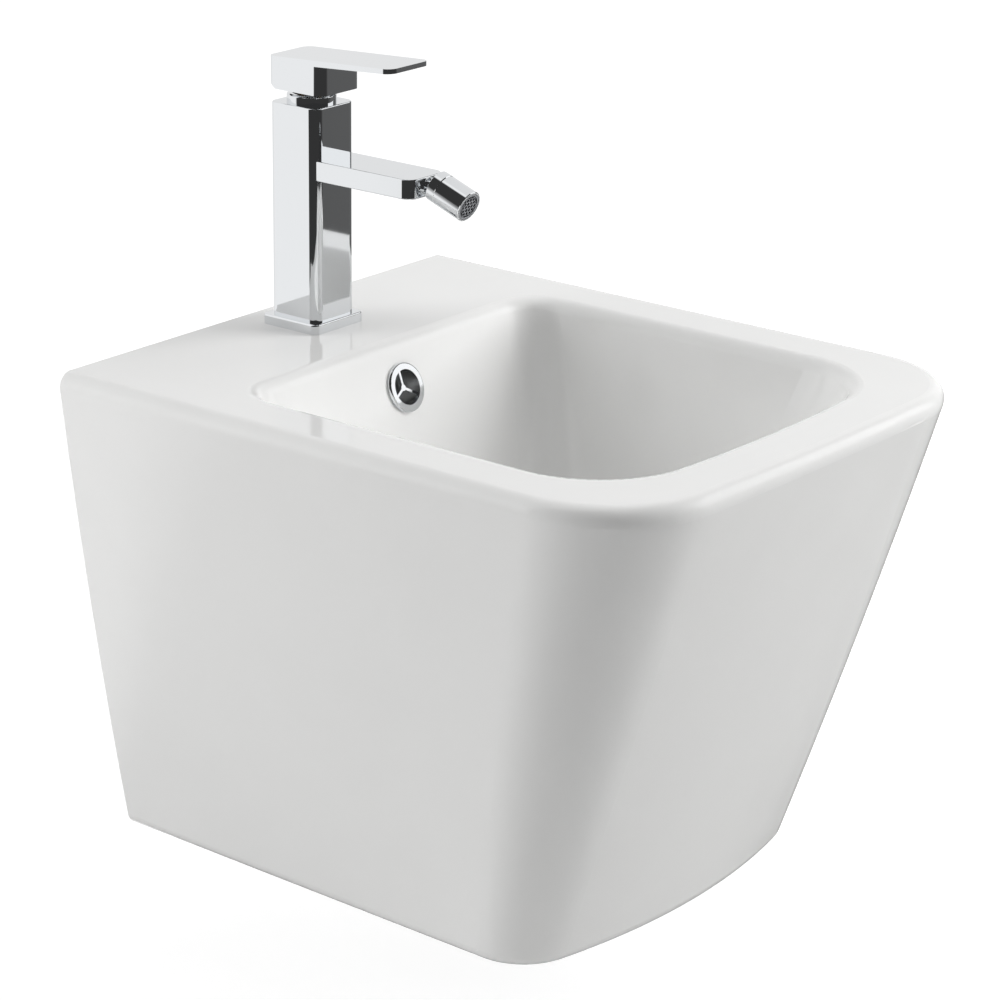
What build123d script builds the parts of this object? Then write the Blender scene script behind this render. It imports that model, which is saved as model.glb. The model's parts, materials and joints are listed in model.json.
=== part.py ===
from build123d import *
from math import cos, radians, sin, sqrt, tan
import os

# Wall-hung bidet with a single-lever mixer. Millimetres.
# The wall is the plane y = 0, the bowl comes forward along -Y, and +Z is up.
# The origin is midway between the two wall bolts, in the plane of the wall.

# Ceramic outside
rim_height = 80.0  # rim above the wall bolts
body_height = 312.0
rim_width = 365.0
rim_depth = 430.0
rim_bow = 4.0
rim_corner = 74.0
foot_back_width = 262.0
foot_front_width = 280.0
foot_setback = 87.0  # front of the foot behind the front of the rim
foot_bow = 22.0
foot_corner = 40.0
side_swell = 3.0  # how far a side stands out from a straight taper at half height
rim_round = 9.0
foot_round = 10.0

# Ceramic walls
shell_wall = 13.0
deck_thickness = 16.0
back_wall = 20.0
foot_wall = 13.0

# Bowl
bowl_setback = 107.0
rim_front = 45.0  # flat rim in front of the bowl
bowl_width = 274.0
bowl_bow = 9.0
bowl_back_corner = 22.0
bowl_front_corner = 58.0
bowl_depth = 122.0
floor_setback = 40.0  # front of the bowl's floor behind the front of its opening
floor_width = 216.0
floor_back_corner = 32.0
back_slope = 20.0
bowl_floor_round = 26.0
bowl_wall = 12.0
bowl_lip_round = 10.0
dish_radius = 70.0
dish_drop = 5.0

# Waste hole, midway between the bowl's back and front
waste_hole_radius = 22.5
waste_boss_wall = 13.0
waste_boss_drop = 176.0

# Overflow
overflow_drop = 28.0
overflow_hole_radius = 13.0
duct_width = 34.0
duct_depth = 10.0
duct_wall = 7.0
duct_head = 17.0  # from the overflow hole's centre up to the top of the duct

# Wall fixing
bolt_spacing = 180.0
bolt_hole_radius = 10.0
bolt_boss_radius = 20.0
bolt_boss_length = 50.0

# Openings for pipes
window_width = 176.0
window_drop = 168.0
window_corner = 26.0
underside_margin = 62.0  # ceramic left at the front of the underside

# Tap hole
tap_setback = 42.0
tap_hole_radius = 17.5

# Tap
base_width = 46.0
base_depth = 45.0
base_thickness = 6.5
base_corner = 4.0
base_edge = 1.2
base_seal_width = 3.0
base_seal_thickness = 1.5
column_width = 37.0
column_depth = 39.0
column_top = 141.5  # above the deck
column_corner = 6.0
edge_round = 0.8
spigot_radius = 15.5
spigot_length = 12.5
spout_width = 33.0
spout_bottom = 96.5
spout_thickness = 12.5
spout_reach = 93.0  # from the column's axis to the spout's end
spout_corner = 7.0
inlet_spacing = 15.0
inlet_offset = 3.0  # inlets behind the column's axis
inlet_radius = 4.5
inlet_thread = 12.0
inlet_bore = 2.6
outlet_offset = 7.0  # outlet bore in front of the column's axis
outlet_bore = 3.4
spout_bore = 3.0

# Tap fixing under the deck
stud_radius = 4.0
stud_offset = 9.5  # in front of the column's axis
stud_grip = 12.0
stud_length = 58.0
horseshoe_radius = 20.0
horseshoe_mouth = 22.0
gasket_thickness = 3.0
plate_thickness = 2.5
nut_flats = 13.0
nut_height = 15.0

# Cartridge
cartridge_floor = 109.5  # above the deck
cartridge_radius = 12.5
cartridge_length = 25.5
cartridge_wall = 1.5
cartridge_base = 2.5
cartridge_lip = 1.8
seal_thickness = 1.0
seal_wall = 1.2
disc_thickness = 3.0
moving_disc_radius = 8.0
moving_disc_thickness = 3.5
neck_radius = 9.0
neck_height = 5.0  # above the cartridge's lip
nut_bore = 9.7
cartridge_nut_radius = 14.0
cartridge_nut_rise = 2.5  # above the column
cartridge_nut_flats = 23.0
pivot_height = 131.5
pin_radius = 1.5
stem_width = 7.0
stem_depth = 6.0
stem_top = 165.0
stem_hub_radius = 4.0
stem_ball_radius = 2.3
stem_ball_lift = 0.4  # above the pocket's floor at rest, for the arc of its swing
disc_pocket = 2.2
stem_lean = 12.0  # of the stem's lower arm at rest
lever_lift = 24.0

# Collar
collar_radius = 15.5
collar_height = 5.5
collar_wall = 2.0
collar_opening = 12.0
collar_round = 1.6

# Handle
handle_width = 37.6
handle_back = 20.0  # behind the column's axis
handle_front = 24.0  # in front of the column's axis
handle_bottom = 150.0
handle_top = 170.0
lever_tip_reach = 79.0
lever_tip_top = 175.0
lever_tip_thickness = 3.0
lever_root_thickness = 3.7
handle_corner = 6.0
heel_length = 7.0
heel_rise = 4.0
handle_pocket_width = 33.0
handle_pocket_depth = 36.0
handle_pocket_height = 6.0
handle_screw_height = 161.0
handle_screw_radius = 2.5
handle_screw_length = 9.0
handle_screw_socket = 2.5
handle_socket_depth = 3.0
cap_radius = 3.5
cap_thickness = 2.0

# Nozzle
ball_reach = 11.0  # from the spout's end to the ball's centre
ball_radius = 7.0
ball_neck_radius = 3.5
ball_bore = 2.2
ball_thread_radius = 5.0
ball_thread_length = 9.0
ball_shoulder_radius = 5.8
ball_shoulder = 1.5
nozzle_tilt = 20.0
nozzle_radius = 10.0
nozzle_tail = 4.5  # behind the ball's centre
nozzle_length = 26.5
nozzle_ring_length = 6.3
nozzle_seam = 0.4
nozzle_ring_catch = 6.3  # radius of the edge that holds the ball
nozzle_ring_mouth = 7.6
nozzle_thread_radius = 8.2
nozzle_thread_depth = 2.0
ball_seal_start = 2.4
ball_seal_length = 2.4
ball_seal_radius = 7.4
nozzle_chamber_radius = 6.4
aerator_radius = 8.6
aerator_length = 8.0
aerator_recess = 0.5
aerator_plate = 3.2
aerator_seal_thickness = 1.2
jet_radius = 0.75
jet_pitch = 2.6
jet_rings = 2
jets_per_ring = 6  # in the first ring, and as many more in each ring after it

# Overflow ring
overflow_flange_radius = 15.7
overflow_flange_thickness = 2.4
overflow_round = 1.4
overflow_opening_radius = 11.2
overflow_barb = 0.6  # stands out behind the ceramic wall
overflow_barb_length = 2.4
bars = 3
bar_turn = 90.0
bar_width = 1.6
bar_depth = 2.0
bar_recess = 1.0
bar_hub_radius = 2.0

# Waste
waste_flange_radius = 31.5
waste_flange_thickness = 3.0
waste_gasket_thickness = 2.0
waste_tube_radius = 20.95
waste_tube_wall = 3.0
waste_tube_length = 75.0
waste_tail_radius = 16.0
waste_tail_wall = 1.5
waste_tail_length = 32.0
waste_slot_width = 12.0
waste_slot_height = 15.0
waste_slot_corner = 3.0
spider_drop = 30.0
spider_thickness = 5.0
spider_hub_radius = 8.5
spider_arm = 4.0
spider_arms = 3
spider_turn = 30.0
click_radius = 6.0
click_length = 26.0
click_flange = 1.8
plug_radius = 29.0
plug_thickness = 4.0
plug_crown = 2.4
plug_stem_radius = 3.5
plug_stem_length = 20.0
plug_seal_inner = 22.0
plug_seal_width = 4.0
plug_seal_groove = 1.6
cone_gasket_height = 8.0
cone_gasket_radius = 31.0
waste_nut_radius = 30.0
waste_nut_height = 12.0
waste_nut_rim = 3.0
waste_nut_lugs = 6
waste_nut_notch = 5.0

# Wall sleeves
sleeve_bore = 6.25
sleeve_flange_radius = 15.0
sleeve_flange = 3.0

# Clearances
thread_gap = 0.1
push_gap = 0.2
running_gap = 0.08
loose_gap = 0.3
past = 1.0  # how far a cut runs past the face it opens

os.makedirs("parts", exist_ok=True)

rim = rim_height
foot_depth = rim_depth - foot_setback
bowl_front = rim_depth - rim_front
floor_front = bowl_front - floor_setback
waste_setback = (bowl_setback + bowl_front) / 2
floor_back = bowl_setback + bowl_depth * tan(radians(back_slope))
rim_plane = Plane.XY.offset(rim)


def outline(back, front, back_width, front_width, bow, back_corner, front_corner):
    """Face with a straight back, straight sides and a bowed front, its corners rounded."""
    side_front = front - bow
    back_left = (-back_width / 2, -back)
    back_right = (back_width / 2, -back)
    front_left = (-front_width / 2, -side_front)
    front_right = (front_width / 2, -side_front)
    with BuildLine() as edge:
        Line(back_left, back_right)
        Line(back_right, front_right)
        ThreePointArc(front_right, (0, -front), front_left)
        Line(front_left, back_left)
    make_face(edge.edges())
    fillet(vertices().sort_by(Axis.Y)[:2], front_corner)
    if back_corner > 0:
        fillet(vertices().sort_by(Axis.Y)[-2:], back_corner)


def body_outline(drop, inset=0.0, back=0.0, back_corner=0.0):
    """Outline of the body at a drop below the rim, its sides and front moved in by inset."""
    share = drop / body_height
    swell = 2 * side_swell * 4 * share * (1 - share)
    outline(
        back,
        rim_depth + (foot_depth - rim_depth) * share - inset,
        rim_width + (foot_back_width - rim_width) * share + swell - 2 * inset,
        rim_width + (foot_front_width - rim_width) * share + swell - 2 * inset,
        rim_bow + (foot_bow - rim_bow) * share,
        back_corner,
        rim_corner + (foot_corner - rim_corner) * share - inset,
    )


def bowl_outline(drop, grow=0.0):
    """Outline of the bowl at a drop below the rim, grown by a wall."""
    share = drop / bowl_depth
    width = bowl_width + (floor_width - bowl_width) * share + 2 * grow
    outline(
        bowl_setback + (floor_back - bowl_setback) * share - grow,
        bowl_front + (floor_front - bowl_front) * share + grow,
        width,
        width,
        bowl_bow,
        bowl_back_corner + (floor_back_corner - bowl_back_corner) * share + grow,
        bowl_front_corner + grow,
    )


def turning_plane(origin, direction):
    """Sketch plane with its Y along an axis of turning and its X straight out from it."""
    return Plane(origin=origin, x_dir=(1, 0, 0), z_dir=Vector(1, 0, 0).cross(Vector(*direction)))


def ring(outer, inner, low, high, plane=Plane.XY):
    """Plain ring between two heights above a plane."""
    with BuildSketch(plane.offset(low)) as section:
        Circle(outer)
        Circle(inner, mode=Mode.SUBTRACT)
    extrude(section.sketch, amount=high - low)


# Ceramic body
cavity_top = deck_thickness
cavity_bottom = body_height - foot_wall
with BuildPart() as cavity:
    for drop in (cavity_top, (cavity_top + cavity_bottom) / 2, cavity_bottom):
        with BuildSketch(rim_plane.offset(-drop)):
            body_outline(drop, shell_wall, back_wall, shell_wall)
    loft()

bowl_shell_top = deck_thickness / 2
with BuildPart() as bowl_shell:
    for drop in (bowl_shell_top, bowl_depth + bowl_wall):
        with BuildSketch(rim_plane.offset(-drop)):
            bowl_outline(drop, bowl_wall)
    loft(ruled=True)
    fillet(edges().group_by(Axis.Z)[0], bowl_floor_round)

dish_top_drop = bowl_depth
dish_bottom_drop = bowl_depth + dish_drop
with BuildPart() as bowl_void:
    for drop in (-past, bowl_depth):
        with BuildSketch(rim_plane.offset(-drop)):
            bowl_outline(drop)
    loft(ruled=True)
    fillet(edges().group_by(Axis.Z)[0], bowl_floor_round)
    with BuildSketch(rim_plane.offset(-dish_bottom_drop)):
        with Locations((0, -waste_setback)):
            Circle(waste_hole_radius + waste_boss_wall)
    with BuildSketch(rim_plane.offset(-dish_top_drop)):
        with Locations((0, -waste_setback)):
            Circle(dish_radius)
    loft()

# Overflow duct: down behind the bowl and under its floor to the waste hole
slope_out = bowl_wall + duct_depth / 2
duct_shift = slope_out / cos(radians(back_slope))
duct_run_drop = bowl_depth + bowl_wall + duct_depth / 2 + duct_wall - past
duct_top_drop = overflow_drop - duct_head


def behind_bowl(drop, shift):
    """Point of the Y-Z plane behind the bowl's back wall at a drop below the rim."""
    return (-bowl_setback - drop * tan(radians(back_slope)) + shift, rim - drop)


with BuildPart() as duct:
    with BuildSketch(Plane.YZ):
        with BuildLine():
            Polyline(
                behind_bowl(duct_top_drop - duct_wall, duct_shift),
                behind_bowl(duct_run_drop, duct_shift),
                (-waste_setback, rim - duct_run_drop),
            )
        trace(line_width=duct_depth + 2 * duct_wall)
    extrude(amount=duct_width / 2 + duct_wall, both=True)

with BuildPart() as duct_void:
    with BuildSketch(Plane.YZ):
        with BuildLine():
            Polyline(
                behind_bowl(duct_top_drop, duct_shift),
                behind_bowl(duct_run_drop, duct_shift),
                (-waste_setback, rim - duct_run_drop),
            )
        trace(line_width=duct_depth)
    extrude(amount=duct_width / 2, both=True)

overflow_y, overflow_z = behind_bowl(overflow_drop, 0)
overflow_face = Plane(
    origin=(0, overflow_y, overflow_z),
    x_dir=(1, 0, 0),
    z_dir=(0, -cos(radians(back_slope)), sin(radians(back_slope))),
)

waste_seat_drop = dish_bottom_drop + waste_flange_thickness + waste_gasket_thickness + loose_gap
waste_plane = Plane(origin=(0, -waste_setback, rim))

wall_plane = Plane(origin=(0, 0, 0), x_dir=(1, 0, 0), z_dir=(0, -1, 0))
tap_deck = Plane(origin=(0, -tap_setback, rim))
underside_length = foot_depth - underside_margin

with BuildPart() as ceramic_body:
    for drop in (0, body_height / 2, body_height):
        with BuildSketch(rim_plane.offset(-drop)):
            body_outline(drop, back=-past)
    loft()
    split(bisect_by=wall_plane)
    rim_edges = edges().group_by(Axis.Z)[-1].sort_by(Axis.Y)[:-1]
    fillet(rim_edges, rim_round)
    foot_edges = edges().group_by(Axis.Z)[0].sort_by(Axis.Y)[:-1]
    fillet(foot_edges, foot_round)
    add(cavity.part, mode=Mode.SUBTRACT)
    add(bowl_shell.part)
    add(duct.part)
    with BuildSketch(waste_plane.offset(-waste_boss_drop)):
        Circle(waste_hole_radius + waste_boss_wall)
    extrude(amount=waste_boss_drop - bowl_depth - bowl_wall / 2)
    add(bowl_void.part, mode=Mode.SUBTRACT)
    lip = edges().filter_by(lambda e: abs(e.center().Z - rim) < 0.01 and e.center().Y < -back_wall)
    lip = lip.filter_by(lambda e: e.bounding_box().max.Y < -bowl_setback + past)
    lip = lip.filter_by(lambda e: e.bounding_box().min.Y > -bowl_front - past)
    lip = lip.filter_by(lambda e: abs(e.bounding_box().max.X) < bowl_width / 2 + past)
    fillet(lip, bowl_lip_round)
    with BuildSketch(waste_plane.offset(-waste_seat_drop)):
        Circle(waste_flange_radius + push_gap)
    extrude(amount=waste_seat_drop - dish_bottom_drop + past, mode=Mode.SUBTRACT)
    with BuildSketch(waste_plane.offset(-waste_boss_drop - past)):
        Circle(waste_hole_radius)
    extrude(amount=waste_boss_drop - dish_bottom_drop + past, mode=Mode.SUBTRACT)
    add(duct_void.part, mode=Mode.SUBTRACT)
    with BuildSketch(overflow_face.offset(past)):
        Circle(overflow_hole_radius)
    extrude(amount=-(slope_out + past), mode=Mode.SUBTRACT)
    with BuildSketch(wall_plane.offset(back_wall - past)):
        with GridLocations(bolt_spacing, 0, 2, 1):
            Circle(bolt_boss_radius)
    extrude(amount=bolt_boss_length - back_wall + past)
    with BuildSketch(wall_plane.offset(-past)):
        with GridLocations(bolt_spacing, 0, 2, 1):
            Circle(bolt_hole_radius)
    extrude(amount=bolt_boss_length + 2 * past, mode=Mode.SUBTRACT)
    window_height = body_height - window_drop + past
    with BuildSketch(Plane.XZ.offset(-past)):
        with Locations((0, rim - window_drop)):
            Rectangle(window_width, window_height, align=(Align.CENTER, Align.MAX))
        fillet(vertices().sort_by(Axis.Y)[-2:], window_corner)
    extrude(amount=back_wall + 2 * past, mode=Mode.SUBTRACT)
    with BuildSketch(rim_plane.offset(-body_height - past)):
        with Locations((0, past)):
            Rectangle(window_width, underside_length + past, align=(Align.CENTER, Align.MAX))
        fillet(vertices().sort_by(Axis.Y)[:2], window_corner)
    extrude(amount=foot_wall + 2 * past, mode=Mode.SUBTRACT)
    with BuildSketch(tap_deck.offset(past)):
        Circle(tap_hole_radius)
    extrude(amount=-(deck_thickness + 2 * past), mode=Mode.SUBTRACT)
ceramic_body.part.label = "ceramic_body"
export_step(ceramic_body.part, "parts/ceramic_body.step")


def finish(builder, label):
    """Name a piece and write it to its own file."""
    builder.part.label = label
    export_step(builder.part, f"parts/{label}.step")


def deck_plane(height, offset=0.0):
    """Level plane over the tap hole, at a height above the deck and an offset to the front."""
    return Plane(origin=(0, -tap_setback - offset, rim + height))


def turned(points, origin, direction):
    """Solid turned from a closed outline of (radius, distance along the axis) points."""
    with BuildSketch(turning_plane(origin, direction)) as section:
        with BuildLine() as edge:
            Polyline(*points, close=True)
        make_face(edge.edges())
    revolve(section.sketch, axis=Axis(origin, direction))


# Overflow ring
with BuildPart() as overflow_ring:
    barrel = overflow_hole_radius - push_gap
    barrel_length = bowl_wall + loose_gap + overflow_barb_length
    with BuildSketch(overflow_face):
        Circle(overflow_flange_radius)
    extrude(amount=overflow_flange_thickness)
    fillet(edges().filter_by(GeomType.CIRCLE).sort_by(Axis.Y)[0], overflow_round)
    with BuildSketch(overflow_face):
        Circle(barrel)
    extrude(amount=-barrel_length)
    with BuildSketch(overflow_face.offset(-barrel_length)):
        Circle(overflow_hole_radius + overflow_barb)
    extrude(amount=overflow_barb_length)
    with BuildSketch(overflow_face.offset(-barrel_length)):
        Circle(overflow_opening_radius)
    extrude(amount=barrel_length + overflow_flange_thickness, mode=Mode.SUBTRACT)
    with BuildSketch(overflow_face.offset(-bar_recess - bar_depth)):
        Circle(bar_hub_radius)
        with PolarLocations(0, bars, start_angle=bar_turn):
            Rectangle(overflow_opening_radius + past / 2, bar_width, align=(Align.MIN, Align.CENTER))
    extrude(amount=bar_depth)
finish(overflow_ring, "overflow_ring")

# Tap base
with BuildPart() as tap_base:
    with BuildSketch(tap_deck):
        RectangleRounded(base_width, base_depth, base_corner)
        Circle(spigot_radius + push_gap, mode=Mode.SUBTRACT)
    extrude(amount=base_thickness)
    fillet(edges().group_by(Axis.Z)[-1].filter_by(lambda e: e.length < base_width), base_edge)
    seal_inner = tap_hole_radius + push_gap
    with BuildSketch(tap_deck):
        Circle(seal_inner + base_seal_width)
        Circle(seal_inner, mode=Mode.SUBTRACT)
    extrude(amount=base_seal_thickness, mode=Mode.SUBTRACT)
finish(tap_base, "tap_base")

with BuildPart() as base_seal:
    with BuildSketch(tap_deck):
        Circle(seal_inner + base_seal_width - push_gap / 2)
        Circle(seal_inner + push_gap / 2, mode=Mode.SUBTRACT)
    extrude(amount=base_seal_thickness)
finish(base_seal, "base_seal")

# Tap body
spout_middle = spout_bottom + spout_thickness / 2
spigot_bottom = base_thickness - spigot_length
inlets = [(side * inlet_spacing / 2, inlet_offset) for side in (-1, 1)]
nut_seat = cartridge_floor + seal_thickness + cartridge_length
with BuildPart() as tap_body:
    with BuildSketch(deck_plane(base_thickness)):
        RectangleRounded(column_width, column_depth, column_corner)
    extrude(amount=column_top - base_thickness)
    fillet(edges().group_by(Axis.Z)[-1], edge_round)
    with BuildSketch(deck_plane(spout_bottom)):
        with Locations((0, 0)):
            Rectangle(spout_width, spout_reach, align=(Align.CENTER, Align.MAX))
        fillet(vertices().sort_by(Axis.Y)[:2], spout_corner)
    extrude(amount=spout_thickness)
    spout_edges = edges().filter_by(lambda e: e.bounding_box().max.Y < -tap_setback - column_depth / 2)
    fillet(spout_edges.filter_by(Axis.Z, reverse=True), edge_round)
    with BuildSketch(deck_plane(spigot_bottom)):
        Circle(spigot_radius)
    extrude(amount=spigot_length)
    with BuildSketch(deck_plane(nut_seat)):
        Circle(cartridge_nut_radius + thread_gap)
    extrude(amount=column_top - nut_seat, mode=Mode.SUBTRACT)
    with BuildSketch(deck_plane(cartridge_floor)):
        Circle(cartridge_radius + thread_gap)
    extrude(amount=column_top - cartridge_floor, mode=Mode.SUBTRACT)
    with BuildSketch(deck_plane(spigot_bottom)):
        with Locations(*inlets):
            Circle(inlet_bore)
    extrude(amount=cartridge_floor - spigot_bottom, mode=Mode.SUBTRACT)
    with BuildSketch(deck_plane(spigot_bottom)):
        with Locations(*inlets):
            Circle(inlet_radius)
    extrude(amount=inlet_thread, mode=Mode.SUBTRACT)
    with BuildSketch(deck_plane(spigot_bottom, stud_offset)):
        Circle(stud_radius + thread_gap)
    extrude(amount=stud_grip, mode=Mode.SUBTRACT)
    with BuildSketch(deck_plane(spout_bottom, outlet_offset)):
        Circle(outlet_bore)
    extrude(amount=cartridge_floor - spout_bottom, mode=Mode.SUBTRACT)
    spout_end = -tap_setback - spout_reach
    with BuildSketch(Plane.XZ.offset(-spout_end)):
        with Locations((0, rim + spout_middle)):
            Circle(spout_bore)
    extrude(amount=-(spout_reach - outlet_offset), mode=Mode.SUBTRACT)
    with BuildSketch(Plane.XZ.offset(-spout_end)):
        with Locations((0, rim + spout_middle)):
            Circle(ball_thread_radius + thread_gap)
    extrude(amount=-ball_thread_length, mode=Mode.SUBTRACT)
finish(tap_body, "tap_body")

# Tap fixing
stud_top = spigot_bottom + stud_grip - loose_gap
with BuildPart() as fixing_stud:
    with BuildSketch(deck_plane(stud_top - stud_length, stud_offset)):
        Circle(stud_radius)
    extrude(amount=stud_length)
    chamfer(edges().filter_by(GeomType.CIRCLE), edge_round)
finish(fixing_stud, "fixing_stud")


def horseshoe(top, thickness):
    """Washer under the deck, open behind for the two supply tails."""
    with BuildSketch(deck_plane(top - thickness)) as section:
        Circle(horseshoe_radius)
        with Locations((0, inlet_offset)):
            SlotOverall(horseshoe_mouth + 2 * inlet_radius, 2 * inlet_radius + past, mode=Mode.SUBTRACT)
        with Locations((0, -stud_offset)):
            Circle(stud_radius + loose_gap, mode=Mode.SUBTRACT)
    extrude(section.sketch, amount=thickness)


deck_under = -deck_thickness
with BuildPart() as horseshoe_gasket:
    horseshoe(deck_under, gasket_thickness)
finish(horseshoe_gasket, "horseshoe_gasket")

with BuildPart() as horseshoe_plate:
    horseshoe(deck_under - gasket_thickness, plate_thickness)
finish(horseshoe_plate, "horseshoe_plate")

with BuildPart() as fixing_nut:
    nut_top = deck_under - gasket_thickness - plate_thickness
    with BuildSketch(deck_plane(nut_top - nut_height, stud_offset)):
        RegularPolygon(nut_flats / 2, 6, major_radius=False)
        Circle(stud_radius + thread_gap, mode=Mode.SUBTRACT)
    extrude(amount=nut_height)
finish(fixing_nut, "fixing_nut")

# Cartridge
shell_floor = cartridge_floor + seal_thickness
shell_top = shell_floor + cartridge_length
shell_inner = cartridge_radius - cartridge_wall
disc_floor = shell_floor + cartridge_base
ports = inlets + [(0, -outlet_offset)]
with BuildPart() as seat_seals:
    with BuildSketch(deck_plane(cartridge_floor)):
        with Locations(*ports):
            Circle(inlet_bore + push_gap + seal_wall)
            Circle(inlet_bore + push_gap, mode=Mode.SUBTRACT)
    extrude(amount=seal_thickness)
finish(seat_seals, "seat_seals")

with BuildPart() as cartridge_shell:
    with BuildSketch(deck_plane(shell_floor)):
        Circle(cartridge_radius)
    extrude(amount=cartridge_length)
    with BuildSketch(deck_plane(disc_floor)):
        Circle(shell_inner)
    extrude(amount=shell_top - cartridge_lip - disc_floor, mode=Mode.SUBTRACT)
    with BuildSketch(deck_plane(disc_floor)):
        Circle(neck_radius + running_gap)
    extrude(amount=shell_top - disc_floor, mode=Mode.SUBTRACT)
    with BuildSketch(deck_plane(shell_floor)):
        with Locations(*ports):
            Circle(inlet_bore)
    extrude(amount=cartridge_base, mode=Mode.SUBTRACT)
finish(cartridge_shell, "cartridge_shell")

disc_top = disc_floor + disc_thickness
with BuildPart() as fixed_disc:
    with BuildSketch(deck_plane(disc_floor)):
        Circle(shell_inner - running_gap)
        with Locations(*ports):
            Circle(inlet_bore, mode=Mode.SUBTRACT)
    extrude(amount=disc_thickness)
finish(fixed_disc, "fixed_disc")

# The stem's ball sits behind the axis at rest and ends as far in front of it when lifted
moving_top = disc_top + moving_disc_thickness
ball_height = moving_top - disc_pocket + stem_ball_radius + stem_ball_lift
arm_drop = pivot_height - ball_height
ball_rest = arm_drop * tan(radians(stem_lean))
with BuildPart() as moving_disc:
    with BuildSketch(deck_plane(disc_top, -ball_rest)):
        Circle(moving_disc_radius)
    extrude(amount=moving_disc_thickness)
    with BuildSketch(deck_plane(disc_top, -ball_rest)):
        SlotOverall(inlet_spacing - inlet_bore, 2 * inlet_bore)
    extrude(amount=(moving_disc_thickness - disc_pocket) / 2, mode=Mode.SUBTRACT)
    with BuildSketch(deck_plane(moving_top, -ball_rest)):
        Circle(stem_ball_radius + loose_gap)
    extrude(amount=-disc_pocket, mode=Mode.SUBTRACT)
finish(moving_disc, "moving_disc")

# Carrier: turns with the lever and holds the pivot pin
carrier_floor = moving_top + running_gap
carrier_shoulder = shell_top - cartridge_lip - running_gap
carrier_top = shell_top + neck_height
carrier_radius = shell_inner - running_gap
stem_swing = (carrier_top - pivot_height) * tan(radians(lever_lift)) + stem_depth / 2
arm_swing = (pivot_height - carrier_floor) * tan(radians(stem_lean)) + stem_ball_radius
with BuildPart() as carrier:
    with BuildSketch(deck_plane(carrier_floor)):
        Circle(carrier_radius)
    extrude(amount=carrier_shoulder - carrier_floor)
    with BuildSketch(deck_plane(carrier_floor)):
        Circle(neck_radius)
    extrude(amount=carrier_top - carrier_floor)
    slot_front = stem_depth / 2 + loose_gap
    slot_back = stem_swing + loose_gap
    with BuildSketch(deck_plane(pivot_height - stem_hub_radius, slot_front)):
        Rectangle(stem_width + loose_gap, slot_front + slot_back, align=(Align.CENTER, Align.MIN))
    extrude(amount=carrier_top - pivot_height + stem_hub_radius, mode=Mode.SUBTRACT)
    with BuildSketch(deck_plane(carrier_floor)):
        Rectangle(stem_width + loose_gap, 2 * (stem_hub_radius + arm_swing / 2))
    extrude(amount=pivot_height - carrier_floor + stem_hub_radius, mode=Mode.SUBTRACT)
    with BuildSketch(Plane.YZ):
        with Locations((-tap_setback, rim + pivot_height)):
            Circle(pin_radius + push_gap / 2)
    extrude(amount=carrier_radius, both=True, mode=Mode.SUBTRACT)
finish(carrier, "carrier")

with BuildPart() as pivot_pin:
    with BuildSketch(Plane.YZ):
        with Locations((-tap_setback, rim + pivot_height)):
            Circle(pin_radius)
    extrude(amount=carrier_radius - loose_gap, both=True)
finish(pivot_pin, "pivot_pin")

# Stem: square shank, round hub on the pin, leaning arm with a ball
with BuildPart() as stem:
    with BuildSketch(deck_plane(pivot_height)):
        Rectangle(stem_width, stem_depth)
    extrude(amount=stem_top - pivot_height)
    chamfer(edges().group_by(Axis.Z)[-1], edge_round)
    with BuildSketch(Plane.YZ):
        with Locations((-tap_setback, rim + pivot_height)):
            Circle(stem_hub_radius)
    extrude(amount=stem_width / 2, both=True)
    pivot_point = (0, -tap_setback, rim + pivot_height)
    ball_point = (0, -tap_setback + ball_rest, rim + ball_height)
    arm_direction = Vector(*ball_point) - Vector(*pivot_point)
    with BuildSketch(Plane(origin=pivot_point, x_dir=(1, 0, 0), z_dir=arm_direction)):
        Circle(stem_ball_radius - loose_gap)
    extrude(amount=arm_direction.length)
    with Locations(ball_point):
        Sphere(stem_ball_radius)
    with BuildSketch(Plane.YZ):
        with Locations((-tap_setback, rim + pivot_height)):
            Circle(pin_radius + running_gap)
    extrude(amount=stem_width, both=True, mode=Mode.SUBTRACT)
finish(stem, "stem")

with BuildPart() as cartridge_nut:
    with BuildSketch(deck_plane(nut_seat)):
        Circle(cartridge_nut_radius)
    extrude(amount=column_top - nut_seat - edge_round)
    with BuildSketch(deck_plane(nut_seat)):
        RegularPolygon(cartridge_nut_flats / 2, 6, major_radius=False)
    extrude(amount=column_top + cartridge_nut_rise - nut_seat)
    with BuildSketch(deck_plane(nut_seat)):
        Circle(nut_bore)
    extrude(amount=column_top + cartridge_nut_rise - nut_seat, mode=Mode.SUBTRACT)
finish(cartridge_nut, "cartridge_nut")

with BuildPart() as collar:
    with BuildSketch(deck_plane(column_top)):
        Circle(collar_radius)
    extrude(amount=collar_height)
    fillet(edges().filter_by(GeomType.CIRCLE).sort_by(Axis.Z)[-1], collar_round)
    with BuildSketch(deck_plane(column_top)):
        Circle(collar_radius - collar_wall)
    extrude(amount=collar_height - collar_wall, mode=Mode.SUBTRACT)
    with BuildSketch(deck_plane(column_top)):
        Circle(collar_opening)
    extrude(amount=collar_height, mode=Mode.SUBTRACT)
finish(collar, "collar")

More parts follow.
